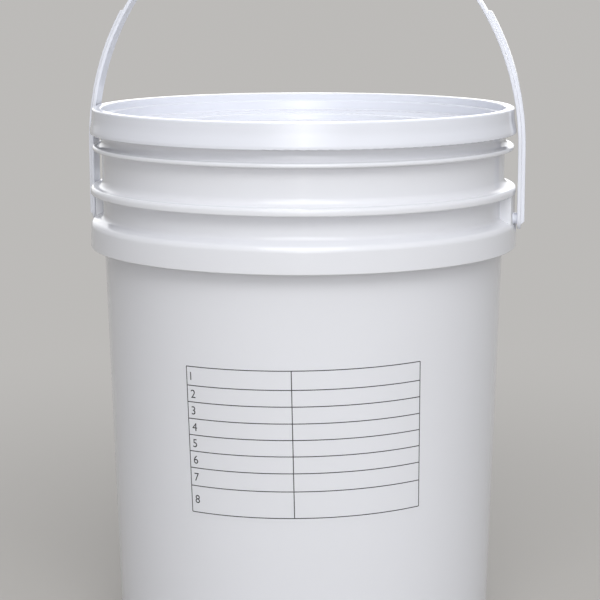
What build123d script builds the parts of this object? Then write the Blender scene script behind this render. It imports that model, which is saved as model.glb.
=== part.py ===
from build123d import *
import os
from math import asin, atan2, cos, degrees, radians, sin

# Twenty-litre plastic honey pail: tapered bucket, press-on lid with its gasket, moulded bail, film label.
# Millimetres, +Z up. The origin is the middle of the foot ring, on the surface that the pail stands on.
# The bail's two pivots lie on a line along X, and the bail stands upright.

# Bucket wall and floor
bucket_height = 372.6  # foot to the top of the rim
base_radius = 133.5  # outside of the wall at the foot
neck_radius = 141.7  # outside of the wall from the band up to the upper ring
wall = 2.2
floor_thickness = 2.6
floor_fillet = 9.0  # inside corner between floor and wall
base_round = 4.0  # outside corner at the foot
foot_round = 1.2  # corners of the recess under the floor
foot_height = 4.0  # recess under the floor
foot_width = 9.0

# Rim and mouth
mouth_swell = 2.25  # inside of the rim, which guides the lid's plug, wider than the neck by this much
rim_wall = 2.25
throat_step = 1.25  # how far the wall comes in below the guided stretch
step_height = 5.0  # height of the slope from throat to neck
rim_round = 0.5
collar_swell = 0.6  # the wall just over the upper ring, proud of the neck

# Rings round the neck, chained downwards from the rim; each reach is measured from the neck outwards
upper_ring_depth = 25.4  # rim to the underside of the upper ring
upper_ring_thickness = 2.9
upper_ring_reach = 6.7
upper_ring_round = 1.5  # top edge
ring_spacing = 30.6  # underside of the upper ring to the lower edge of the middle ring
middle_ring_height = 5.2
middle_ring_reach = 8.5
middle_ring_round = 2.5  # top edge
ring_land = 0.6  # flat between a ring's rounded top edge and the cove at the neck
ring_web = 2.6  # thickness of the middle ring's flat part and of its lip
edge_round = 0.8  # outer edges and inner corners of rings and band
lip_round = 0.4  # inner edge of the middle ring's lip and of the band

# Skirt band under the rings, hollow and open below
ear_height = 19.8  # lower edge of the middle ring to the band's top edge
band_height = 17.5
band_reach = 9.1  # at the band's lower edge
band_draft = 0.3  # how much smaller the band is at its top edge
band_wall = 2.4
band_round = 5.0  # top edge
shoulder_rise = 3.9  # the band's sloping top
shoulder_cove = 3.5
gusset_count = 24
gusset_thickness = 1.8
gusset_inset = 3.0  # how far the gussets stop short of the band's lower edge

# Ears that carry the bail
ear_inset = 2.0  # the ear's flat face lies this far inside the band's radius
ear_width = 34.0
ear_wall = 2.6
ear_round = 1.0
ear_skirt = 10.0  # how far the ear box runs on below the pivot
ear_roof = 3.0  # solid under the middle ring
pivot_over_band = 2.7  # pivot axis above the band's top edge
spot_face_margin = 2.0  # flat round the pivot hole, beyond the strap's end

# Lid
lid_skin = 1.8
lid_wall = 1.65
lid_clearance = 0.35  # lid to rim, on each side of the rim
skirt_height = 17.6
skirt_flare = 1.8  # how much wider the skirt is at its lower edge
skirt_lip = 2.4  # straight stretch at the lower edge
skirt_round = 0.8  # lower edge
flare_height = 6.8  # stretch over the lip in which the skirt flares
flare_sweep = 30.0  # radius of the hollow where the flare starts
flare_round = 5.0  # where it meets the lip
channel_round = 1.2  # top edges of the channel
inner_round = 0.5  # inner edges of skirt and plug
ledge_depth = 5.8
ledge_round = 0.7
well_step = 2.05  # the lower wall of the well stands inside the upper one by this much
well_depth = 13.0
well_draft = 0.4
well_round = 1.6  # corner at the foot of the well and edge of the recess
recess_radius = 101.8
recess_depth = 17.9
recess_round = 1.0
lid_floor_gap = 0.9  # lid's underside to the slope of the bucket's mouth

# Gasket in the roof of the lid's channel
gasket_thickness = 1.6
gasket_side_gap = 0.1

# Bail
bail_clearance = 1.1  # strap to the widest ring that it swings past
strap_width = 15.0
strap_thickness = 2.4
strap_round = 0.7
rib_width = 7.0
rib_height = 2.4
rib_overlap = 0.5  # the rib's root inside the strap
rib_reach = 95.0  # height of the rib's upper end over the start of the bend
rib_slant = 2.5  # bevel at the rib's ends
rib_tail = 4.5  # the rib runs on this far below the pivot
rib_round = 0.45  # less than the root's depth
bend_depth = 28.0  # lid top down to where the arms start to bend in
crown_inset = 11.9  # the crown's radius is smaller than the arms' spread by this much
crown_rise = 30.8  # centre of the crown over the start of the bend
grip_width = 24.0
grip_thickness = 4.6
grip_round = 1.6
grip_length = 112.0
grip_end_round = 0.8
pin_radius = 4.0
pin_clearance = 0.08
head_radius = 5.6
head_thickness = 2.2
head_gap = 0.35
head_chamfer = 0.6

# Label
label_width = 166.0  # along the wall
label_height = 105.0
label_thickness = 0.2
label_glue = 0.1  # film to wall
label_corner = 3.0
label_middle = 165.3  # height of its middle
label_azimuth = 10.7  # turned from the front (-Y) towards +X
label_tilt = 1.05  # right-hand side up

# Heights worked out from the above
lid_top = bucket_height + gasket_thickness + lid_skin
upper_ring_low = bucket_height - upper_ring_depth
upper_ring_top = upper_ring_low + upper_ring_thickness
middle_ring_low = upper_ring_low - ring_spacing
middle_ring_top = middle_ring_low + middle_ring_height
middle_web_low = middle_ring_top - ring_web
band_top = middle_ring_low - ear_height
band_low = band_top - band_height
shoulder_top = band_top + shoulder_rise
pivot_height = band_top + pivot_over_band
floor_top = foot_height + floor_thickness
plug_low = lid_top - ledge_depth - lid_skin
mouth_low = plug_low - lid_floor_gap
throat_low = lid_top - well_depth - lid_skin - lid_floor_gap
bend_height = lid_top - bend_depth

# Radii worked out from the above
upper_ring_radius = neck_radius + upper_ring_reach
middle_ring_radius = neck_radius + middle_ring_reach
band_radius = neck_radius + band_reach
mouth_radius = neck_radius + mouth_swell
rim_radius = mouth_radius + rim_wall
throat_radius = mouth_radius - throat_step
waist_radius = throat_radius + wall
collar_radius = neck_radius + collar_swell
upper_ring_cove = upper_ring_radius - upper_ring_round - ring_land - collar_radius
middle_ring_cove = middle_ring_radius - middle_ring_round - ring_land - neck_radius
wall_slope = (neck_radius - base_radius) / shoulder_top
skirt_inner = rim_radius + lid_clearance
skirt_radius = skirt_inner + lid_wall
flare_radius = skirt_radius + skirt_flare
plug_radius = mouth_radius - lid_clearance
well_rim_radius = plug_radius - lid_wall
well_radius = well_rim_radius - well_step
ear_face = band_radius - ear_inset
hole_radius = pin_radius + pin_clearance
strap_inner = max(band_radius, middle_ring_radius, upper_ring_radius, flare_radius) + bail_clearance
crown_radius = strap_inner - crown_inset
side_radius = (strap_inner**2 + crown_rise**2 - crown_radius**2) / (2 * crown_inset)
bend_angle = degrees(atan2(crown_rise, side_radius - strap_inner))


def wall_radius(height):
    """Outside radius of the tapered wall at a height above the foot."""
    return base_radius + wall_slope * height


def turned(corners):
    """Solid of revolution about Z from closed corners (radius, height, rounding)."""
    outline = FilletPolyline(
        [(radius, height) for radius, height, rounding in corners],
        radius=[rounding for radius, height, rounding in corners],
        close=True,
    )
    return revolve(Plane.XZ * make_face(outline), Axis.Z)


def rod_along_x(radius, start, end):
    """Round bar about the pivot line, from X = start to X = end."""
    seat = Plane(origin=(start, 0, pivot_height), x_dir=(0, 1, 0), z_dir=(1, 0, 0))
    return seat * Cylinder(radius, end - start, align=(Align.CENTER, Align.CENTER, Align.MIN))


def block(low, high):
    """Box between two opposite corners."""
    size = [b - a for a, b in zip(low, high)]
    return Pos(*low) * Box(*size, align=(Align.MIN, Align.MIN, Align.MIN))


def both_ends(solid):
    """The solid at +X and its mirror image at -X."""
    return [solid, mirror(solid, Plane.YZ)]


def bucket_shell():
    """Wall, floor, rings, band and rim as one turned solid."""
    foot_inner = base_radius - foot_width
    band_inner = band_radius - band_wall
    lip_inner = middle_ring_radius - ring_web
    under_shoulder = shoulder_top - band_wall
    return turned([
        (foot_inner, 0, foot_round),
        (base_radius, 0, base_round),
        (wall_radius(under_shoulder), under_shoulder, edge_round),
        (band_inner, band_top - band_wall, edge_round),
        (band_inner, band_low, lip_round),
        (band_radius, band_low, edge_round),
        (band_radius - band_draft, band_top, band_round),
        (neck_radius, shoulder_top, shoulder_cove),
        (neck_radius, middle_web_low, edge_round),
        (lip_inner, middle_web_low, edge_round),
        (lip_inner, middle_ring_low, lip_round),
        (middle_ring_radius, middle_ring_low, edge_round),
        (middle_ring_radius, middle_ring_top, middle_ring_round),
        (neck_radius, middle_ring_top, middle_ring_cove),
        (neck_radius, upper_ring_low, edge_round),
        (upper_ring_radius, upper_ring_low, edge_round),
        (upper_ring_radius, upper_ring_top, upper_ring_round),
        (collar_radius, upper_ring_top, upper_ring_cove),
        (collar_radius, throat_low - step_height, 0),
        (waist_radius, throat_low, 0),
        (waist_radius, mouth_low - throat_step, 0),
        (rim_radius, mouth_low, 0),
        (rim_radius, bucket_height, rim_round),
        (mouth_radius, bucket_height, rim_round),
        (mouth_radius, mouth_low, 0),
        (throat_radius, mouth_low - throat_step, 0),
        (throat_radius, throat_low, 0),
        (neck_radius - wall, throat_low - step_height, 0),
        (neck_radius - wall, shoulder_top, 0),
        (wall_radius(floor_top) - wall, floor_top, floor_fillet),
        (0, floor_top, 0),
        (0, foot_height, 0),
        (foot_inner, foot_height, foot_round),
    ])


def gussets():
    """Radial webs inside the hollow band, spread evenly and clear of the ears."""
    outer = band_radius - band_wall / 2
    inner = wall_radius(band_low) - wall / 2
    web = block(
        (inner, -gusset_thickness / 2, band_low + gusset_inset),
        (outer, gusset_thickness / 2, band_top - band_wall / 2),
    )
    pitch = 360 / gusset_count
    return [Rot(0, 0, pitch * (index + 0.5)) * web for index in range(gusset_count)]


def core(radius):
    """Round core up the middle of the bucket, which cuts a box back to the neck."""
    return Cylinder(radius, bucket_height, align=(Align.CENTER, Align.CENTER, Align.MIN))


def ear_box():
    """Outer box of the ear at +X, from the middle ring down into the band, rooted in the neck's wall."""
    box = block(
        (0, -ear_width / 2, pivot_height - ear_skirt),
        (ear_face, ear_width / 2, middle_web_low + ring_web / 2),
    )
    box = fillet(box.edges().filter_by(Axis.Z).group_by(Axis.X)[-1], ear_round)
    return box - core(neck_radius - wall / 2)


def ear_cavity():
    """Hollow of the ear at +X, behind its face and outside the neck."""
    room = block(
        (0, ear_wall - ear_width / 2, pivot_height - ear_skirt - band_height),
        (ear_face - ear_wall, ear_width / 2 - ear_wall, middle_ring_low - ear_roof),
    )
    return room - core(neck_radius)


def bucket_body():
    """Bucket with gussets, two hollow ears, pivot holes and the flats round them."""
    body = bucket_shell() + gussets()
    body += both_ends(ear_box())
    body -= both_ends(ear_cavity())
    spot_radius = strap_width / 2 + spot_face_margin
    body -= both_ends(rod_along_x(spot_radius, ear_face, band_radius + wall))
    body -= both_ends(rod_along_x(hole_radius, ear_face - ear_wall - head_gap, band_radius))
    return body


def press_on_lid():
    """Lid: channel over the rim, skirt that flares to a lip, two-step well with a recess."""
    under_ledge = lid_top - ledge_depth - lid_skin
    under_well = lid_top - well_depth - lid_skin
    under_recess = lid_top - recess_depth - lid_skin
    skirt_low = lid_top - skirt_height
    lip_top = skirt_low + skirt_lip
    flare_top = lip_top + flare_height
    return turned([
        (well_rim_radius, lid_top, channel_round),
        (skirt_radius, lid_top, channel_round),
        (skirt_radius + well_draft, flare_top, flare_sweep),
        (flare_radius, lip_top, flare_round),
        (flare_radius, skirt_low, skirt_round),
        (flare_radius - lid_wall, skirt_low, inner_round),
        (flare_radius - lid_wall, lip_top, 0),
        (skirt_inner, flare_top, 0),
        (skirt_inner, lid_top - lid_skin, 0),
        (plug_radius, lid_top - lid_skin, 0),
        (plug_radius, under_ledge, inner_round),
        (well_radius + lid_wall + well_draft, under_ledge, inner_round),
        (well_radius + lid_wall, under_well, well_round + lid_wall),
        (recess_radius + lid_wall + well_draft, under_well, inner_round),
        (recess_radius + lid_wall, under_recess, recess_round + lid_wall),
        (0, under_recess, 0),
        (0, lid_top - recess_depth, 0),
        (recess_radius, lid_top - recess_depth, recess_round),
        (recess_radius + well_draft, lid_top - well_depth, well_round),
        (well_radius, lid_top - well_depth, well_round),
        (well_radius + well_draft, lid_top - ledge_depth, ledge_round),
        (well_rim_radius, lid_top - ledge_depth, ledge_round),
    ])


def lid_gasket():
    """Sealing ring between the roof of the lid's channel and the rim."""
    inner = plug_radius + gasket_side_gap
    outer = skirt_inner - gasket_side_gap
    return turned([
        (inner, bucket_height, 0),
        (outer, bucket_height, 0),
        (outer, bucket_height + gasket_thickness, 0),
        (inner, bucket_height + gasket_thickness, 0),
    ])


def strap_path(offset, low):
    """Line of the bail at +X: up the arm from height low, round the bend and over half the crown.

    offset is the distance outside the strap's inner face.
    """
    spread = strap_inner + offset
    bend_middle = (strap_inner - side_radius, bend_height)
    crown_middle = (0, bend_height + crown_rise)
    arm = Line((spread, low), (spread, bend_height))
    bend = CenterArc(bend_middle, side_radius + offset, 0, bend_angle)
    crown = CenterArc(crown_middle, crown_radius + offset, bend_angle, 90 - bend_angle)
    return Plane.XZ * Wire([arm.edge(), bend.edge(), crown.edge()])


def half_strap():
    """Flat strap of the +X half, with a round end about the pivot."""
    path = strap_path(strap_thickness / 2, pivot_height)
    start = Plane(origin=path @ 0, x_dir=(0, 1, 0), z_dir=path % 0)
    strap = sweep(start * RectangleRounded(strap_width, strap_thickness, strap_round), path)
    end = rod_along_x(strap_width / 2, strap_inner, strap_inner + strap_thickness)
    return strap + fillet(end.edges().filter_by(GeomType.CIRCLE), strap_round)


def arm_rib():
    """Rib along the outside of the +X arm, bevelled at both ends."""
    root = strap_thickness - rib_overlap
    crest = strap_thickness + rib_height
    bend_middle = (strap_inner - side_radius, bend_height)
    root_angle = degrees(asin(rib_reach / (side_radius + root)))
    crest_angle = root_angle - degrees(rib_slant / (side_radius + crest))
    tail = pivot_height - rib_tail
    inner_arc = CenterArc(bend_middle, side_radius + root, 0, root_angle)
    outer_arc = CenterArc(bend_middle, side_radius + crest, 0, crest_angle)
    outline = [
        Line((strap_inner + root, tail), inner_arc @ 0),
        inner_arc,
        Line(inner_arc @ 1, outer_arc @ 1),
        outer_arc,
        Line(outer_arc @ 0, (strap_inner + crest, tail + rib_slant)),
        Line((strap_inner + crest, tail + rib_slant), (strap_inner + root, tail)),
    ]
    side = Plane.XZ * make_face([piece.edge() for piece in outline])
    rib = extrude(side, rib_width / 2, both=True)
    return fillet(rib.edges(), rib_round)


def snap_pin():
    """Pin on the +X arm: through the ear's hole, with a head behind the ear's wall."""
    head_outer = ear_face - ear_wall - head_gap
    head_inner = head_outer - head_thickness
    shank = rod_along_x(pin_radius, head_outer - head_thickness / 2, strap_inner + strap_thickness / 2)
    head = rod_along_x(head_radius, head_inner, head_outer)
    return shank + chamfer(head.edges().sort_by(Axis.X)[0], head_chamfer)


def grip():
    """Wider and thicker stretch in the middle of the crown."""
    middle_radius = crown_radius + strap_thickness / 2
    half_angle = degrees(grip_length / 2 / middle_radius)
    arc = CenterArc((0, bend_height + crown_rise), middle_radius, 90 - half_angle, 2 * half_angle)
    path = Plane.XZ * Wire([arc.edge()])
    start = Plane(origin=path @ 0, x_dir=(0, 1, 0), z_dir=path % 0)
    bar = sweep(start * RectangleRounded(grip_width, grip_thickness, grip_round), path)
    ends = bar.faces().sort_by(Axis.X)
    return fillet(ends[0].edges() + ends[-1].edges(), grip_end_round)


def bail_handle():
    """Bail: two arms with ribs and snap pins, joined over the crown by the grip."""
    half = half_strap() + arm_rib() + snap_pin()
    return half + mirror(half, Plane.YZ) + grip()


def front_label():
    """Film on the tapered wall, a rectangle along the wall with rounded corners."""
    radius = wall_radius(label_middle)
    low = label_middle - label_height
    high = label_middle + label_height
    sleeve = turned([
        (wall_radius(low) + label_glue, low, 0),
        (wall_radius(low) + label_glue + label_thickness, low, 0),
        (wall_radius(high) + label_glue + label_thickness, high, 0),
        (wall_radius(high) + label_glue, high, 0),
    ])
    chord = 2 * radius * sin(label_width / 2 / radius)
    turn = radians(label_azimuth)
    facing = Plane(
        origin=(0, 0, label_middle),
        x_dir=(cos(turn), sin(turn), 0),
        z_dir=(sin(turn), -cos(turn), 0),
    )
    outline = Rot(0, 0, label_tilt) * RectangleRounded(chord, label_height, label_corner)
    return sleeve & extrude(facing * outline, 2 * radius)


pieces = {
    "bucket_body": bucket_body(),
    "press_on_lid": press_on_lid(),
    "lid_gasket": lid_gasket(),
    "bail_handle": bail_handle(),
    "front_label": front_label(),
}
os.makedirs("parts", exist_ok=True)
for name, piece in pieces.items():
    export_step(piece, f"parts/{name}.step")
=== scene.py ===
"""Looks of a twenty-litre plastic honey pail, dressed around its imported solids.

Metres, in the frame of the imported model: +Z up, the origin in the middle of the foot ring, the bail's pivots
along X, the label on the front (-Y). Angles round the pail are counted from the front towards +X.
"""

import logging
import math
from dataclasses import dataclass, field, replace
from enum import Enum
from typing import Any, ClassVar, Mapping, Sequence, Union

import bpy
import numpy as np
from mathutils import Matrix, Vector


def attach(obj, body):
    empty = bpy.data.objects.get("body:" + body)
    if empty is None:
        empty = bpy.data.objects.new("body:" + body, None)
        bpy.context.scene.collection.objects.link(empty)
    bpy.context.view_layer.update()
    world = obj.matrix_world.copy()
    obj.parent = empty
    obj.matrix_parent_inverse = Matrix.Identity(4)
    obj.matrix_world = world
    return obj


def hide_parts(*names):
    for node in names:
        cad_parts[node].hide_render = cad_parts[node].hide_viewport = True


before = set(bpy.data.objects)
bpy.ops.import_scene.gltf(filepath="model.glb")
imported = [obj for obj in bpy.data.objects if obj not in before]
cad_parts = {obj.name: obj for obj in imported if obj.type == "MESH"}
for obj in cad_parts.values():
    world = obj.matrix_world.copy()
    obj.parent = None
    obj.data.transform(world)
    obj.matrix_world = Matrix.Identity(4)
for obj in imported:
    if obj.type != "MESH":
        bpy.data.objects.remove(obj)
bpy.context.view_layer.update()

LOG = logging.getLogger("honey_pail")
MM = 0.001
# Middle of the noise textures, which run from 0 to 1.
NOISE_MEAN = 0.5
# A radius, in metres, that no surface of the pail reaches.
BEYOND_REACH = 1.0
Colour = tuple[float, float, float]
Span = tuple[float, float]
Number = Union["Signal", float]


class Node(Enum):
    """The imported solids."""

    BUCKET = "bucket_body"
    LABEL = "front_label"
    LID = "press_on_lid"
    GASKET = "lid_gasket"
    BAIL = "bail_handle"


class Body(Enum):
    """The bodies that pieces ride on."""

    BUCKET = "bucket"
    LID = "lid"
    BAIL = "bail"


class Slot(Enum):
    """The record's material slots."""

    BUCKET = "bucket_plastic"
    LID = "lid_plastic"
    LABEL = "label_film"


class Signal:
    """A shader socket that can be used in expressions: each operator adds one Math node."""

    def __init__(self, graph: "Graph", socket: bpy.types.NodeSocket | None) -> None:
        """Keep the graph and the output socket that the value comes from."""
        self.graph = graph
        self.socket = socket

    def __add__(self, other: Number) -> "Signal":
        """Sum."""
        return self.graph.maths("ADD", self, other)

    def __radd__(self, other: float) -> "Signal":
        """Sum with a plain number on the left."""
        return self.graph.maths("ADD", other, self)

    def __sub__(self, other: Number) -> "Signal":
        """Difference."""
        return self.graph.maths("SUBTRACT", self, other)

    def __rsub__(self, other: float) -> "Signal":
        """Difference from a plain number on the left."""
        return self.graph.maths("SUBTRACT", other, self)

    def __mul__(self, other: Number) -> "Signal":
        """Product."""
        return self.graph.maths("MULTIPLY", self, other)

    def __rmul__(self, other: float) -> "Signal":
        """Product with a plain number on the left."""
        return self.graph.maths("MULTIPLY", other, self)

    def __pow__(self, other: Number) -> "Signal":
        """Power."""
        return self.graph.maths("POWER", self, other)

    def ease(self, low: float, high: float) -> "Signal":
        """Smooth step from 0 at low to 1 at high.

        Args:
            low: value that gives 0.
            high: value that gives 1; it may be below low, which turns the step round.

        Returns:
            The eased value.
        """
        return self.graph.add(
            "ShaderNodeMapRange",
            {"interpolation_type": "SMOOTHSTEP"},
            {"Value": self, "From Min": low, "From Max": high, "To Min": 0.0, "To Max": 1.0},
        )


class Graph:
    """A node tree that nodes are added to, one call each."""

    def __init__(self, tree: bpy.types.NodeTree) -> None:
        """Empty the tree.

        Args:
            tree: node tree of a material or of the world.
        """
        self.tree = tree
        tree.nodes.clear()

    def add(
        self,
        kind: str,
        settings: Mapping[str, Any] | None = None,
        inputs: Mapping[str | int, Any] | None = None,
        output: str | int = 0,
    ) -> Signal:
        """Make one node, set it up and link it.

        Args:
            kind: node type, such as "ShaderNodeBump".
            settings: properties of the node, set before its sockets.
            inputs: values, or signals to link, by socket name or index.
            output: name or index of the output that is wanted.

        Returns:
            The chosen output.
        """
        node = self.tree.nodes.new(kind)
        for name, value in (settings or {}).items():
            setattr(node, name, value)
        for name, value in (inputs or {}).items():
            if isinstance(value, Signal):
                self.tree.links.new(value.socket, node.inputs[name])
            else:
                node.inputs[name].default_value = value
        return Signal(self, node.outputs[output] if len(node.outputs) else None)

    def maths(self, operation: str, *values: Number) -> Signal:
        """One Math node.

        Args:
            operation: the node's operation.
            values: its inputs, in order.

        Returns:
            The result.
        """
        return self.add("ShaderNodeMath", {"operation": operation}, dict(enumerate(values)))

    def place(self) -> Signal:
        """Object coordinates of the surface."""
        return self.add("ShaderNodeTexCoord", output="Object")

    def axes(self, vector: Signal) -> tuple[Signal, Signal, Signal]:
        """The three parts of a vector."""
        parts = self.add("ShaderNodeSeparateXYZ", inputs={"Vector": vector})
        return tuple(Signal(self, socket) for socket in parts.socket.node.outputs)

    def stretched(self, vector: Signal, scale: Sequence[float]) -> Signal:
        """The vector scaled along each axis."""
        return self.add("ShaderNodeMapping", inputs={"Vector": vector, "Scale": scale})

    def noise(self, vector: Signal, size: float, detail: float = 2.0) -> Signal:
        """Cloudy noise between 0 and 1.

        Args:
            vector: coordinates in metres.
            size: width of a cloud in metres.
            detail: octaves of finer clouds.

        Returns:
            The noise.
        """
        inputs = {"Vector": vector, "Scale": 1.0 / size, "Detail": detail}
        return self.add("ShaderNodeTexNoise", {"noise_dimensions": "3D"}, inputs)

    def blend(self, share: Number, first: Colour, second: Colour) -> Signal:
        """Colour between two colours.

        Args:
            share: 0 gives the first colour, 1 the second.
            first: a colour.
            second: another.

        Returns:
            The mixed colour.
        """
        # A Mix node has sockets of the same names for each kind of data: 6, 7 and output 2 are for colours.
        inputs = {0: share, 6: (*first, 1.0), 7: (*second, 1.0)}
        return self.add("ShaderNodeMix", {"data_type": "RGBA"}, inputs, output=2)

    def bump(self, height: Signal, depth: float, below: Signal | None = None) -> Signal:
        """Normal of a relief.

        Args:
            height: relief between 0 and 1.
            depth: depth of the relief in metres.
            below: normal that the relief lies on.

        Returns:
            The normal.
        """
        inputs: dict[str | int, Any] = {"Height": height, "Strength": 1.0, "Distance": depth}
        if below is not None:
            inputs["Normal"] = below
        return self.add("ShaderNodeBump", inputs=inputs)

    def background(self, colour: Colour, strength: Number) -> Signal:
        """Light of the world in one colour."""
        return self.add("ShaderNodeBackground", inputs={"Color": (*colour, 1.0), "Strength": strength})


def new_material(name: str) -> tuple[bpy.types.Material, Graph]:
    """An empty material and the graph to fill.

    Args:
        name: name of the material.

    Returns:
        The material and its graph.
    """
    made = bpy.data.materials.new(name)
    made.use_nodes = True
    return made, Graph(made.node_tree)


@dataclass(frozen=True)
class MouldedPlastic:
    """White plastic from an injection mould: cloudy, with slow sinks, fine peel, draw marks and rubbed edges.

    Lengths are metres. A rubbed edge is where the surface stands further out than rub_radius, and the foot is
    rubbed up to foot_height. A span gives the noise values between which a pattern sets in.
    """

    name: str
    colour: Colour
    cloud_colour: Colour
    roughness: float
    cloud_size: float = 90 * MM
    cloud_span: Span = (0.35, 0.75)
    sink_size: float = 55 * MM
    sink_depth: float = 0.1 * MM
    peel_size: float = 1.2 * MM
    peel_depth: float = 0.004 * MM
    draw_size: float = 1.8 * MM
    draw_stretch: float = 0.03
    draw_roughness: float = 0.02
    rub_radius: float = 149.6 * MM
    rub_fade: float = 1.2 * MM
    rub_size: float = 14 * MM
    rub_span: Span = (0.4, 0.65)
    rub_roughness: float = 0.035
    foot_height: float = 7 * MM
    refraction: float = 1.5

    def material(self) -> bpy.types.Material:
        """Make the material.

        Returns:
            A material with a Principled shader.
        """
        made, graph = new_material(self.name)
        place = graph.place()
        x, y, z = graph.axes(place)
        clouds = graph.noise(place, self.cloud_size, detail=3.0)
        colour = graph.blend(clouds.ease(*self.cloud_span), self.colour, self.cloud_colour)
        drawn = graph.noise(graph.stretched(place, (1.0, 1.0, self.draw_stretch)), self.draw_size)
        edges = ((x * x + y * y) ** 0.5).ease(self.rub_radius, self.rub_radius + self.rub_fade)
        exposed = graph.maths("MAXIMUM", edges, z.ease(self.foot_height, 0.0))
        rubbed = exposed * graph.noise(place, self.rub_size).ease(*self.rub_span)
        roughness = self.roughness + self.draw_roughness * (drawn - NOISE_MEAN) + self.rub_roughness * rubbed
        sinks = graph.bump(graph.noise(place, self.sink_size, detail=0.0), self.sink_depth)
        peel = graph.bump(graph.noise(place, self.peel_size), self.peel_depth, sinks)
        shader = graph.add(
            "ShaderNodeBsdfPrincipled",
            inputs={"Base Color": colour, "Roughness": roughness, "Normal": peel, "IOR": self.refraction},
        )
        graph.add("ShaderNodeOutputMaterial", inputs={"Surface": shader})
        return made


@dataclass(frozen=True)
class Ink:
    """Black print: dense, a little uneven where the film shows through."""

    name: str
    colour: Colour
    thin_colour: Colour
    grain: float = 0.6 * MM
    thin_span: Span = (0.45, 0.8)
    roughness: float = 0.5
    grain_roughness: float = 0.1

    def material(self) -> bpy.types.Material:
        """Make the material.

        Returns:
            A material with a Principled shader.
        """
        made, graph = new_material(self.name)
        grain = graph.noise(graph.place(), self.grain, detail=3.0)
        shader = graph.add(
            "ShaderNodeBsdfPrincipled",
            inputs={
                "Base Color": graph.blend(grain.ease(*self.thin_span), self.colour, self.thin_colour),
                "Roughness": self.roughness + self.grain_roughness * (grain - NOISE_MEAN),
            },
        )
        graph.add("ShaderNodeOutputMaterial", inputs={"Surface": shader})
        return made


@dataclass(frozen=True)
class SealFoam:
    """Soft pale sealing ring with fine open pores, whose dimples are painted darker as shade."""

    name: str
    colour: Colour
    pore_shade_colour: Colour
    pore_size: float = 0.9 * MM
    pore_span: Span = (0.15, 0.55)
    pore_depth: float = 0.15 * MM
    roughness: float = 0.85

    def material(self) -> bpy.types.Material:
        """Make the material.

        Returns:
            A material with a Principled shader.
        """
        made, graph = new_material(self.name)
        pores = graph.add(
            "ShaderNodeTexVoronoi",
            {"feature": "F1"},
            {"Vector": graph.place(), "Scale": 1.0 / self.pore_size},
            output="Distance",
        )
        shader = graph.add(
            "ShaderNodeBsdfPrincipled",
            inputs={
                # Painted shade: the pores' dimples get the darker colour, where shade would fall inside them.
                "Base Color": graph.blend(pores.ease(*self.pore_span), self.pore_shade_colour, self.colour),
                "Roughness": self.roughness,
                "Normal": graph.bump(pores, self.pore_depth),
            },
        )
        graph.add("ShaderNodeOutputMaterial", inputs={"Surface": shader})
        return made


BUCKET_WHITE = MouldedPlastic(
    "bucket_plastic", colour=(0.865, 0.873, 0.912), cloud_colour=(0.855, 0.863, 0.9), roughness=0.11
)
LID_WHITE = MouldedPlastic(
    "lid_plastic", colour=(0.865, 0.882, 0.948), cloud_colour=(0.855, 0.872, 0.933), roughness=0.11
)
BAIL_WHITE = replace(
    LID_WHITE, name="bail_plastic", roughness=0.14, peel_depth=0.001 * MM, rub_radius=BEYOND_REACH
)
FILM_WHITE = replace(BUCKET_WHITE, name="label_film", rub_radius=BEYOND_REACH)
SEAL = SealFoam("gasket_foam", colour=(0.72, 0.72, 0.66), pore_shade_colour=(0.6, 0.6, 0.55))
PRINT = Ink("label_ink", colour=(0.012, 0.012, 0.014), thin_colour=(0.05, 0.05, 0.055))


def mesh_object(
    name: str, points: np.ndarray, faces: Sequence[Sequence[int]], crease: float = math.radians(40)
) -> bpy.types.Object:
    """Smooth object from points and faces, with sharp edges kept sharp.

    Args:
        name: name of the object and of its mesh.
        points: points by 3.
        faces: corners of each face, indices into the points.
        crease: angle from which an edge is sharp, in radians.

    Returns:
        The new object, linked to the scene.
    """
    mesh = bpy.data.meshes.new(name)
    mesh.from_pydata(points, [], faces)
    mesh.polygons.foreach_set("use_smooth", np.ones(len(mesh.polygons), bool))
    mesh.set_sharp_from_angle(angle=crease)
    made = bpy.data.objects.new(name, mesh)
    bpy.context.scene.collection.objects.link(made)
    return made


def closed_sheet(name: str, outer: np.ndarray, inner: np.ndarray) -> bpy.types.Object:
    """Thin closed solid between two grids of points, joined along their border.

    Args:
        name: name of the object and of its mesh.
        outer: points of the outer face, rows by columns by 3, counter-clockwise seen from outside.
        inner: points of the inner face on the same grid.

    Returns:
        The new object, linked to the scene.
    """
    rows, columns = outer.shape[:2]
    index = np.arange(rows * columns).reshape(rows, columns)
    front = np.stack([index[:-1, :-1], index[:-1, 1:], index[1:, 1:], index[1:, :-1]], -1).reshape(-1, 4)
    back = front[:, ::-1] + rows * columns
    border = np.concatenate([index[0, :-1], index[:-1, -1], index[-1, :0:-1], index[:0:-1, 0]])
    ahead = np.roll(border, -1)
    rim = np.stack([ahead, border, border + rows * columns, ahead + rows * columns], -1)
    points = np.concatenate([outer.reshape(-1, 3), inner.reshape(-1, 3)])
    return mesh_object(name, points, np.concatenate([front, back, rim]).tolist())


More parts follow.
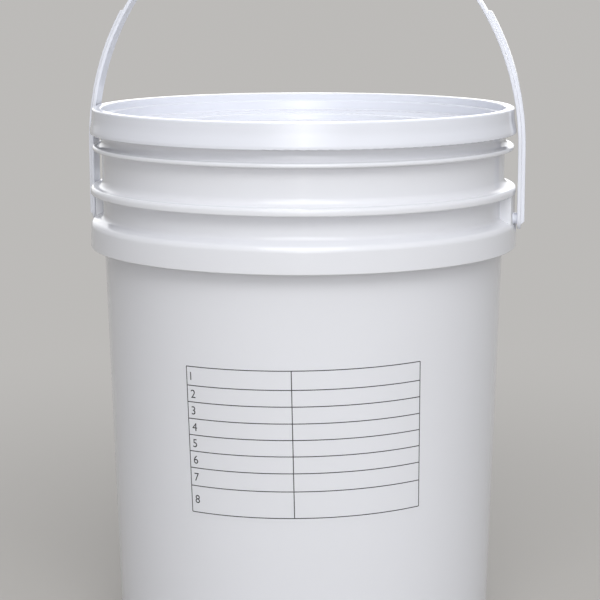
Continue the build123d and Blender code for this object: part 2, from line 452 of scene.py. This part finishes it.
def turned(name: str, radii: np.ndarray, heights: np.ndarray, steps: int) -> bpy.types.Object:
    """Solid of revolution about Z: each point of the profile is carried round a circle of its radius.

    Args:
        name: name of the object and of its mesh.
        radii: distances from the axis, from the lower pole to the upper one, 0 at both.
        heights: heights of the same points.
        steps: points round each circle.

    Returns:
        The new object, linked to the scene.
    """
    turn = np.linspace(0, 2 * np.pi, steps, endpoint=False)
    circle = np.stack([np.cos(turn), np.sin(turn), np.zeros(steps)], -1)
    rings = radii[1:-1, None, None] * circle + heights[1:-1, None, None] * np.array([0.0, 0.0, 1.0])
    poles = np.array([[0, 0, heights[0]], [0, 0, heights[-1]]])
    index = np.arange(rings.shape[0] * steps).reshape(-1, steps)
    ahead = np.roll(index, -1, axis=1)
    walls = np.stack([index[:-1], ahead[:-1], ahead[1:], index[1:]], -1).reshape(-1, 4)
    low = np.stack([ahead[0], index[0], np.full(steps, index.size)], -1)
    high = np.stack([index[-1], ahead[-1], np.full(steps, index.size + 1)], -1)
    points = np.concatenate([rings.reshape(-1, 3), poles])
    return mesh_object(name, points, walls.tolist() + low.tolist() + high.tolist())


def dress(piece: bpy.types.Object, material: bpy.types.Material) -> None:
    """Give a piece one material in all its slots."""
    piece.data.materials.clear()
    piece.data.materials.append(material)


def read_array(
    items: bpy.types.bpy_prop_collection, name: str, width: int, kind: type = np.float32
) -> np.ndarray:
    """One property of all items of a mesh.

    Args:
        items: points, corners or faces of a mesh.
        name: name of the property.
        width: numbers to an item.
        kind: type of the numbers.

    Returns:
        Items by width, or a plain row of numbers where the width is 1.
    """
    values = np.empty(len(items) * width, kind)
    items.foreach_get(name, values)
    return values.reshape(-1, width) if width > 1 else values


def merged_faces(mesh: bpy.types.Mesh) -> tuple[np.ndarray, list[list[int]]]:
    """The shape of a mesh with its seams closed: points that lie in one place become one.

    Args:
        mesh: a mesh with loose faces.

    Returns:
        Points by 3, and the corners of each face, indices into them.
    """
    points, merged = np.unique(read_array(mesh.vertices, "co", 3), axis=0, return_inverse=True)
    corners = merged.ravel()[read_array(mesh.loops, "vertex_index", 1, np.int32)]
    starts = read_array(mesh.polygons, "loop_start", 1, np.int32)
    return points.astype(float), [face.tolist() for face in np.split(corners, starts[1:])]


@dataclass(frozen=True)
class TurnedShell:
    """Visible copy of a packed moulding, merged, with its shading evened out round Z.

    Nearly all of a moulding is turned about Z, but its triangles aren't spread evenly, and on its small
    rounds they face this way and that. A face that leans further round the axis than turned_slope isn't
    turned, and WHOLLY_TURNED takes every face as turned. Lengths are metres.
    """

    WHOLLY_TURNED: ClassVar[float] = 1.1

    name: str
    node: Node
    body: Body
    slot: Slot
    crease: float = math.radians(30)
    cell: float = 0.15 * MM
    sectors: int = 24
    least_sectors: int = 14
    turned_slope: float = 0.7
    directions: int = 72
    settling: int = 4

    def build(self) -> bpy.types.Object:
        """Make the shell, let it stand for the node and ride on the node's body.

        Returns:
            The shell.
        """
        shell = mesh_object(self.name, *merged_faces(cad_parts[self.node.value].data), self.crease)
        shell.data.normals_split_custom_set(self.evened_normals(shell.data).tolist())
        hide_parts(self.node.value)
        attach(shell, self.body.value)
        return shell

    def evened_normals(self, mesh: bpy.types.Mesh) -> np.ndarray:
        """Normals of the mesh's corners, alike all round the axis.

        Points are sorted into square cells by radius and height, and each face normal is split at each
        corner into radial, tangential and axial parts. A corner gets the mean of the radial and axial parts
        of all corners, round the whole pail, that lie in its cell or one beside it and face within the crease
        angle of it, weighted by area; then of those that face within that angle of this mean, and so on until
        it settles. Corners of faces that aren't turned about Z, and of cells found in few sectors, keep the
        mesh's normal.

        Args:
            mesh: a mesh of triangles.

        Returns:
            Corners by 3.
        """
        points = read_array(mesh.vertices, "co", 3)[read_array(mesh.loops, "vertex_index", 1, np.int32)]
        facing = np.repeat(read_array(mesh.polygon_normals, "vector", 3), 3, axis=0)
        areas = np.repeat(read_array(mesh.polygons, "area", 1), 3)
        radii = np.maximum(np.hypot(points[:, 0], points[:, 1]), self.cell)
        out = points[:, :2] / radii[:, None]
        parts = np.stack([np.sum(facing[:, :2] * out, axis=1), facing[:, 2]], 1)
        tangential = facing[:, 1] * out[:, 0] - facing[:, 0] * out[:, 1]
        is_turned = np.abs(tangential) < self.turned_slope
        rows = np.array([round(1 / self.cell), 1])
        grid = np.round(np.stack([radii, points[:, 2]], 1) / self.cell).astype(int)
        keys, cells = np.unique(grid @ rows, return_inverse=True)
        heading = self.sorted_round(parts, self.directions)
        sums = np.zeros((len(keys), self.directions, 2))
        np.add.at(sums, (cells[is_turned], heading[is_turned]), (parts * areas[:, None])[is_turned])
        seen = np.zeros((len(keys), self.sectors), bool)
        seen[cells, self.sorted_round(out, self.sectors)] = True
        sums = self.with_neighbours(keys, rows, sums)
        sectors_seen = self.with_neighbours(keys, rows, seen).sum(axis=1)
        reach = round(self.crease / (2 * np.pi) * self.directions)
        sums = sum(np.roll(sums, step, axis=1) for step in range(-reach, reach + 1))
        even = is_turned & (sectors_seen >= self.least_sectors)[cells]
        cells, heading = cells[even], heading[even]
        for _ in range(self.settling):
            mean = sums[cells, heading]
            heading = self.sorted_round(mean, self.directions)
        mean /= np.linalg.norm(mean, axis=1, keepdims=True)
        normals = read_array(mesh.corner_normals, "vector", 3)
        normals[even] = np.concatenate([mean[:, :1] * out[even], mean[:, 1:]], axis=1)
        return normals

    @staticmethod
    def sorted_round(vectors: np.ndarray, count: int) -> np.ndarray:
        """Number, from 0 to count - 1, of the part of a turn that each flat vector points into."""
        return np.floor(np.arctan2(vectors[:, 1], vectors[:, 0]) / (2 * np.pi) * count).astype(int) % count

    @staticmethod
    def with_neighbours(keys: np.ndarray, rows: np.ndarray, values: np.ndarray) -> np.ndarray:
        """Sum of the values of each cell and of the eight cells round it.

        Args:
            keys: sorted numbers of the cells.
            rows: what one step in radius and one in height add to the number.
            values: cells by anything.

        Returns:
            The sums, as many as the values.
        """
        total = np.zeros_like(values)
        for step in np.ndindex(3, 3):
            beside = keys + (np.array(step) - 1) @ rows
            place = np.minimum(np.searchsorted(keys, beside), len(keys) - 1)
            found = keys[place] == beside
            total[found] += values[place[found]]
        return total


@dataclass
class GateMark:
    """Trace of the injection gate: a low dome with a dimple where the runner was twisted off."""

    name: str
    seat: float
    facing: int
    radius: float = 4.5 * MM
    rise: float = 0.9 * MM
    dimple_radius: float = 1.3 * MM
    dimple_depth: float = 0.7 * MM
    root: float = 0.3 * MM
    rings: int = 24
    steps: int = 48

    def build(self, body: Body, slot: Slot) -> bpy.types.Object:
        """Make the mark and let it ride.

        Its height over the seat is rise * (1 - (r / radius)^2)^2 less a bell-shaped dimple, dimple_depth *
        exp(-(r / dimple_radius)^2), and it is rooted a little inside the moulding.

        Args:
            body: body that it belongs to.
            slot: finish in the record; not used.

        Returns:
            The mark.
        """
        out = np.linspace(0, self.radius, self.rings)
        dome = self.rise * (1 - (out / self.radius) ** 2) ** 2
        dome = dome - self.dimple_depth * np.exp(-((out / self.dimple_radius) ** 2))
        radii = np.concatenate([[0.0], out[::-1]])
        heights = np.concatenate([[-self.root], dome[::-1]])
        if self.facing < 0:
            radii, heights = radii[::-1], -heights[::-1]
        piece = turned(self.name, radii, self.seat + heights, self.steps)
        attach(piece, body.value)
        return piece


@dataclass
class Label:
    """Film on the tapered wall with a ruled table, two columns wide, and plain row numbers.

    Places on the label are (across, up) from its middle, along the wall, before its slight tilt.
    """

    foot_radius: float = 133.5 * MM
    wall_height: float = 300.7 * MM
    wall_gain: float = 8.2 * MM
    middle: float = 165.3 * MM
    azimuth: float = math.radians(10.7)
    tilt: float = math.radians(1.05)
    width: float = 166.0 * MM
    height: float = 105.0 * MM
    corner: float = 3.0 * MM
    glue: float = 0.02 * MM
    thickness: float = 0.06 * MM
    table_width: float = 161.4 * MM
    divider: float = 73.1 * MM
    row_millimetres: tuple[float, ...] = (12.8, 11.2, 11.35, 11.1, 11.1, 11.45, 12.35, 18.2)
    rule_width: float = 0.6 * MM
    ink_thickness: float = 0.03 * MM
    numeral_height: float = 5.6 * MM
    numeral_margin: float = 2.8 * MM
    figure_share: float = 0.7
    columns: int = 120
    film: bpy.types.Object | None = None
    ink: list[bpy.types.Object] = field(default_factory=list)

    def on_wall(self, across: np.ndarray, up: np.ndarray, lift: np.ndarray | float) -> np.ndarray:
        """Points on the wall for places on the label.

        The place is turned by the tilt. Its height gives the wall's radius, foot_radius + taper * z, and its
        distance across, divided by the radius at the label's middle, gives the angle round the pail.

        Args:
            across: distance to the right of the label's middle.
            up: distance above it.
            lift: distance outside the wall.

        Returns:
            The points, with a last axis of 3.
        """
        taper = self.wall_gain / self.wall_height
        side = across * math.cos(self.tilt) - up * math.sin(self.tilt)
        z = self.middle + across * math.sin(self.tilt) + up * math.cos(self.tilt)
        angle = self.azimuth + side / (self.foot_radius + taper * self.middle)
        radius = self.foot_radius + taper * z + lift
        return np.stack([radius * np.sin(angle), -radius * np.cos(angle), z], -1)

    def make_film(self) -> bpy.types.Object:
        """Film with rounded corners: each row of the grid is as wide as the outline is at that height.

        Returns:
            The film.
        """
        half_height = self.height / 2
        up = -half_height * np.cos(np.linspace(0, np.pi, self.columns // 2))
        share = -np.cos(np.linspace(0, np.pi, self.columns))
        past = np.clip(np.abs(up) - (half_height - self.corner), 0, self.corner)
        half_width = self.width / 2 - self.corner + np.sqrt(self.corner**2 - past**2)
        across = half_width[:, None] * share[None, :]
        up = np.broadcast_to(up[:, None], across.shape)
        outer = self.on_wall(across, up, self.glue + self.thickness)
        return closed_sheet("label_film", outer, self.on_wall(across, up, self.glue))

    def make_rule(self, name: str, start: tuple[float, float], end: tuple[float, float]) -> bpy.types.Object:
        """One ruled line, a straight band of ink on the film.

        Args:
            name: name of the piece.
            start: place where the line starts.
            end: place where it ends.

        Returns:
            The line.
        """
        ends = np.array([start, end])
        along = ends[1] - ends[0]
        normal = np.array([-along[1], along[0]]) / np.hypot(*along) * self.rule_width / 2
        line = ends[0] + np.linspace(0, 1, self.columns)[:, None] * along
        places = np.stack([line + normal, line - normal], 1)
        top = self.glue + self.thickness
        faces = [
            self.on_wall(places[..., 0], places[..., 1], lift)
            for lift in (top + self.ink_thickness, top - self.ink_thickness)
        ]
        return closed_sheet(name, *faces)

    def levels(self) -> np.ndarray:
        """Heights of the horizontal lines, from the top down."""
        depths = np.concatenate([[0.0], np.cumsum(self.row_millimetres)]) * MM
        return depths[-1] / 2 - depths

    def make_rules(self) -> list[bpy.types.Object]:
        """All ruled lines, each a piece of its own.

        Returns:
            The lines, from the top down and then from left to right.
        """
        half = self.table_width / 2
        levels = self.levels()
        lines = [((-half, level), (half, level)) for level in levels]
        lines += [((at, levels[-1]), (at, levels[0])) for at in (-half, -half + self.divider, half)]
        return [self.make_rule(f"label_rule_{number:02d}", *line) for number, line in enumerate(lines, 1)]

    def make_numeral(self, number: int, left: float, middle: float) -> bpy.types.Object:
        """A plain figure, made flat from a typeface and then laid on the film.

        The type is one unit high, of which a figure takes figure_share, and one unit thick each way. Its
        faces and sides are merged. Scaled to size, its x is carried across the label, its y up and its z out
        of the wall.

        Args:
            number: the figure.
            left: its left edge on the label.
            middle: height of its middle.

        Returns:
            The figure.
        """
        name = f"label_numeral_{number}"
        text = bpy.data.curves.new(name, "FONT")
        text.body = str(number)
        text.extrude = 1.0
        flat = bpy.data.objects.new(name, text)
        bpy.context.scene.collection.objects.link(flat)
        bpy.context.view_layer.update()
        loose = bpy.data.meshes.new_from_object(flat.evaluated_get(bpy.context.evaluated_depsgraph_get()))
        points, faces = merged_faces(loose)
        bpy.data.objects.remove(flat)
        bpy.data.meshes.remove(loose)
        size = self.numeral_height / self.figure_share
        across = left + (points[:, 0] - points[:, 0].min()) * size
        up = middle + points[:, 1] * size - self.numeral_height / 2
        laid = self.on_wall(across, up, self.glue + self.thickness + points[:, 2] * self.ink_thickness)
        return mesh_object(name, laid, faces)

    def build(self) -> list[bpy.types.Object]:
        """Make film, rules and numerals and let them ride on the bucket.

        Returns:
            The label's pieces.
        """
        self.film = self.make_film()
        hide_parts(Node.LABEL.value)
        levels = self.levels()
        left = -self.table_width / 2 + self.numeral_margin
        rows = enumerate(zip(levels[:-1], levels[1:]), 1)
        numerals = [self.make_numeral(number, left, (high + low) / 2) for number, (high, low) in rows]
        self.ink = [*self.make_rules(), *numerals]
        pieces = [self.film, *self.ink]
        for piece in pieces:
            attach(piece, Body.BUCKET.value)
        return pieces

    def dress(self) -> None:
        """Finish the film and the ink."""
        dress(self.film, FILM_WHITE.material())
        black = PRINT.material()
        for piece in self.ink:
            dress(piece, black)


@dataclass
class Bucket:
    """The bucket's moulding with the gate's mark under its floor, and the label on its front."""

    floor_underside: float = 4.0 * MM
    label: Label = field(default_factory=Label)
    pieces: list[bpy.types.Object] = field(default_factory=list)

    def build(self) -> list[bpy.types.Object]:
        """Make the moulding and add what it carries.

        Returns:
            The pieces of this sub-assembly.
        """
        shell = TurnedShell("bucket_shell", Node.BUCKET, Body.BUCKET, Slot.BUCKET)
        mark = GateMark("bucket_gate_mark", self.floor_underside, facing=-1)
        self.pieces = [shell.build(), mark.build(Body.BUCKET, Slot.BUCKET)]
        return [*self.pieces, *self.label.build()]

    def dress(self) -> None:
        """Finish the moulding and the label."""
        white = BUCKET_WHITE.material()
        for piece in self.pieces:
            dress(piece, white)
        self.label.dress()


@dataclass
class Lid:
    """The lid's moulding with the gate's mark in its well, and the gasket in its channel."""

    recess_floor: float = 358.1 * MM
    least_sectors: int = 6
    pieces: list[bpy.types.Object] = field(default_factory=list)

    def build(self) -> list[bpy.types.Object]:
        """Make the moulding and add what it carries.

        Returns:
            The pieces of this sub-assembly.
        """
        shell = TurnedShell(
            "lid_shell",
            Node.LID,
            Body.LID,
            Slot.LID,
            least_sectors=self.least_sectors,
            turned_slope=TurnedShell.WHOLLY_TURNED,
        )
        mark = GateMark("lid_gate_mark", self.recess_floor, facing=1)
        self.pieces = [shell.build(), mark.build(Body.LID, Slot.LID)]
        return [*self.pieces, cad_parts[Node.GASKET.value]]

    def dress(self) -> None:
        """Finish the moulding and the gasket."""
        white = LID_WHITE.material()
        for piece in self.pieces:
            dress(piece, white)
        dress(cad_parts[Node.GASKET.value], SEAL.material())


@dataclass
class Bail:
    """The bail, which needs nothing but its finish."""

    pieces: list[bpy.types.Object] = field(default_factory=list)

    def build(self) -> list[bpy.types.Object]:
        """The moulding itself."""
        self.pieces = [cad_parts[Node.BAIL.value]]
        return self.pieces

    def dress(self) -> None:
        """Finish the moulding."""
        dress(self.pieces[0], BAIL_WHITE.material())


def direction(camera_azimuth: float, azimuth: float, elevation: float) -> Vector:
    """Direction from the pail to a lamp.

    Args:
        camera_azimuth: angle of the camera round the pail, in radians.
        azimuth: angle of the lamp from the camera to its right, in degrees.
        elevation: angle of the lamp from the ground up, in degrees.

    Returns:
        A vector of length 1.
    """
    turn = camera_azimuth + math.radians(azimuth)
    lift = math.radians(elevation)
    return Vector((math.sin(turn) * math.cos(lift), -math.cos(turn) * math.cos(lift), math.sin(lift)))


@dataclass(frozen=True)
class Softbox:
    """A soft rectangular lamp that faces the pail.

    azimuth is counted from the camera to its right, elevation from the ground up, both in degrees.
    """

    name: str
    azimuth: float
    elevation: float
    distance: float
    width: float
    height: float
    power: float
    aim: float = 0.24

    def build(self, camera_azimuth: float) -> bpy.types.Object:
        """Hang the lamp.

        Args:
            camera_azimuth: angle of the camera round the pail, in radians.

        Returns:
            The lamp's object.
        """
        data = bpy.data.lights.new(self.name, "AREA")
        data.shape = "RECTANGLE"
        data.size = self.width
        data.size_y = self.height
        data.energy = self.power
        lamp = bpy.data.objects.new(self.name, data)
        out = direction(camera_azimuth, self.azimuth, self.elevation)
        lamp.location = Vector((0, 0, self.aim)) + out * self.distance
        lamp.rotation_euler = (-out).to_track_quat("-Z", "Y").to_euler()
        lamp.visible_camera = False
        bpy.context.scene.collection.objects.link(lamp)
        return lamp


@dataclass(frozen=True)
class Glow:
    """A soft lamp painted on the sky: a round glow that falls off as exp(sharpness * (cos(angle) - 1)).

    azimuth is counted from the camera to its right, elevation from the ground up, both in degrees. light is
    what a surface that faces the glow receives from it.
    """

    azimuth: float
    elevation: float
    light: float
    sharpness: float = 12.0

    def radiance(self, graph: Graph, camera_azimuth: float) -> Signal:
        """Brightness of the sky in the direction of a ray.

        Args:
            graph: the world's graph.
            camera_azimuth: angle of the camera round the pail, in radians.

        Returns:
            The brightness.
        """
        ray = graph.add("ShaderNodeTexCoord", output="Generated")
        out = direction(camera_azimuth, self.azimuth, self.elevation)
        product = {"operation": "DOT_PRODUCT"}
        nearness = graph.add("ShaderNodeVectorMath", product, {0: ray, 1: out}, output="Value")
        peak = self.light / (2 * math.pi * (1 / self.sharpness - 1 / self.sharpness**2))
        return peak * graph.maths("EXPONENT", self.sharpness * (nearness - 1.0))


@dataclass
class Studio:
    """Floor, backdrop, lamps and camera."""

    camera_azimuth: float = math.radians(10.5)
    camera_distance: float = 1.3003
    camera_height: float = 0.4679
    camera_pitch: float = math.radians(10.073)
    camera_heading: float = math.radians(0.114)
    camera_roll: float = math.radians(-0.111)
    focal_pixels: float = 1838.5
    picture_pixels: float = 600.0
    sensor: float = 36.0
    clip_near: float = 0.05
    clip_far: float = 200.0
    floor_half: float = 40.0
    floor_colour: Colour = (0.474, 0.456, 0.43)
    backdrop_colour: Colour = (0.505, 0.495, 0.482)
    fade_near: float = 0.1
    fade_far: float = 1.0
    ambient: float = 0.093
    light_colour: Colour = (0.985, 1.0, 1.03)
    lamps: tuple[Softbox, ...] = (
        Softbox("front_key", azimuth=0, elevation=42, distance=1.9, width=1.3, height=0.7, power=10.3),
        Softbox("front_strip", azimuth=0, elevation=14, distance=2.4, width=0.16, height=1.7, power=1.0),
    )
    glows: tuple[Glow, ...] = (
        Glow(azimuth=0, elevation=72, light=0.86),
        Glow(azimuth=35, elevation=35, light=0.46),
        Glow(azimuth=0, elevation=8, light=0.87, sharpness=30.0),
        Glow(azimuth=180, elevation=60, light=0.8),
        Glow(azimuth=180, elevation=14, light=1.0),
    )

    def floor(self) -> None:
        """Wide plain floor that fades into the backdrop's tone away from the pail."""
        corners = self.floor_half * np.array([(-1, -1, 0), (1, -1, 0), (1, 1, 0), (-1, 1, 0)])
        plane = mesh_object("studio_floor", corners, [[0, 1, 2, 3]])
        made, graph = new_material("studio_floor")
        x, y, _ = graph.axes(graph.place())
        far = ((x * x + y * y) ** 0.5).ease(self.fade_near, self.fade_far)
        paper = graph.add("ShaderNodeBsdfDiffuse", inputs={"Color": (*self.floor_colour, 1.0)})
        tone = graph.add("ShaderNodeEmission", inputs={"Color": (*self.backdrop_colour, 1.0)})
        surface = graph.add("ShaderNodeMixShader", inputs={0: far * self.seen(graph), 1: paper, 2: tone})
        graph.add("ShaderNodeOutputMaterial", inputs={"Surface": surface})
        dress(plane, made)

    @staticmethod
    def seen(graph: Graph) -> Signal:
        """Whether a ray shows the backdrop: one from the camera, or a mirrored or refracted one.

        Args:
            graph: graph of the floor or of the world.

        Returns:
            1 for such rays, else 0.
        """
        kinds = ("Is Camera Ray", "Is Glossy Ray", "Is Transmission Ray")
        direct, mirrored, refracted = (graph.add("ShaderNodeLightPath", output=kind) for kind in kinds)
        return graph.maths("MAXIMUM", graph.maths("MAXIMUM", direct, mirrored), refracted)

    def backdrop(self) -> None:
        """World: even fill light and the glows, seen by the camera as the backdrop's tone."""
        world = bpy.data.worlds.new("studio_world")
        bpy.context.scene.world = world
        world.use_nodes = True
        graph = Graph(world.node_tree)
        fill = graph.background(self.light_colour, self.ambient)
        tone = graph.background(self.backdrop_colour, 1.0)
        plain = graph.add("ShaderNodeMixShader", inputs={0: self.seen(graph), 1: fill, 2: tone})
        radiance = sum(glow.radiance(graph, self.camera_azimuth) for glow in self.glows)
        direct = graph.add("ShaderNodeLightPath", output="Is Camera Ray")
        glowing = graph.background(self.light_colour, radiance * (1.0 - direct))
        whole = graph.add("ShaderNodeAddShader", inputs={0: plain, 1: glowing})
        graph.add("ShaderNodeOutputWorld", inputs={"Surface": whole})

    def camera(self) -> None:
        """Camera at the picture's viewpoint: above the lid, a little to the right of the front."""
        data = bpy.data.cameras.new("picture_camera")
        data.sensor_fit = "HORIZONTAL"
        data.sensor_width = self.sensor
        data.lens = self.focal_pixels / self.picture_pixels * self.sensor
        data.clip_start = self.clip_near
        data.clip_end = self.clip_far
        made = bpy.data.objects.new("picture_camera", data)
        turn = self.camera_azimuth
        stand = Matrix.Translation((
            self.camera_distance * math.sin(turn),
            -self.camera_distance * math.cos(turn),
            self.camera_height,
        ))
        heading = Matrix.Rotation(turn + self.camera_heading, 4, "Z")
        pitch = Matrix.Rotation(math.pi / 2 - self.camera_pitch, 4, "X")
        roll = Matrix.Rotation(self.camera_roll, 4, "Z")
        made.matrix_world = stand @ heading @ pitch @ roll
        bpy.context.scene.collection.objects.link(made)
        bpy.context.scene.camera = made

    def build(self) -> None:
        """Set up the whole studio."""
        bpy.context.scene.view_settings.view_transform = "Standard"
        self.floor()
        self.backdrop()
        for lamp in self.lamps:
            lamp.build(self.camera_azimuth)
        self.camera()


def main() -> None:
    """Build and dress the sub-assemblies in order, then set up the studio."""
    logging.basicConfig(level=logging.INFO, format="%(name)s: %(message)s")
    for assembly in (Bucket(), Lid(), Bail()):
        pieces = assembly.build()
        assembly.dress()
        for piece in pieces:
            LOG.info("%s: %s", type(assembly).__name__, piece.name)
    Studio().build()


if __name__ == "__main__":
    main()
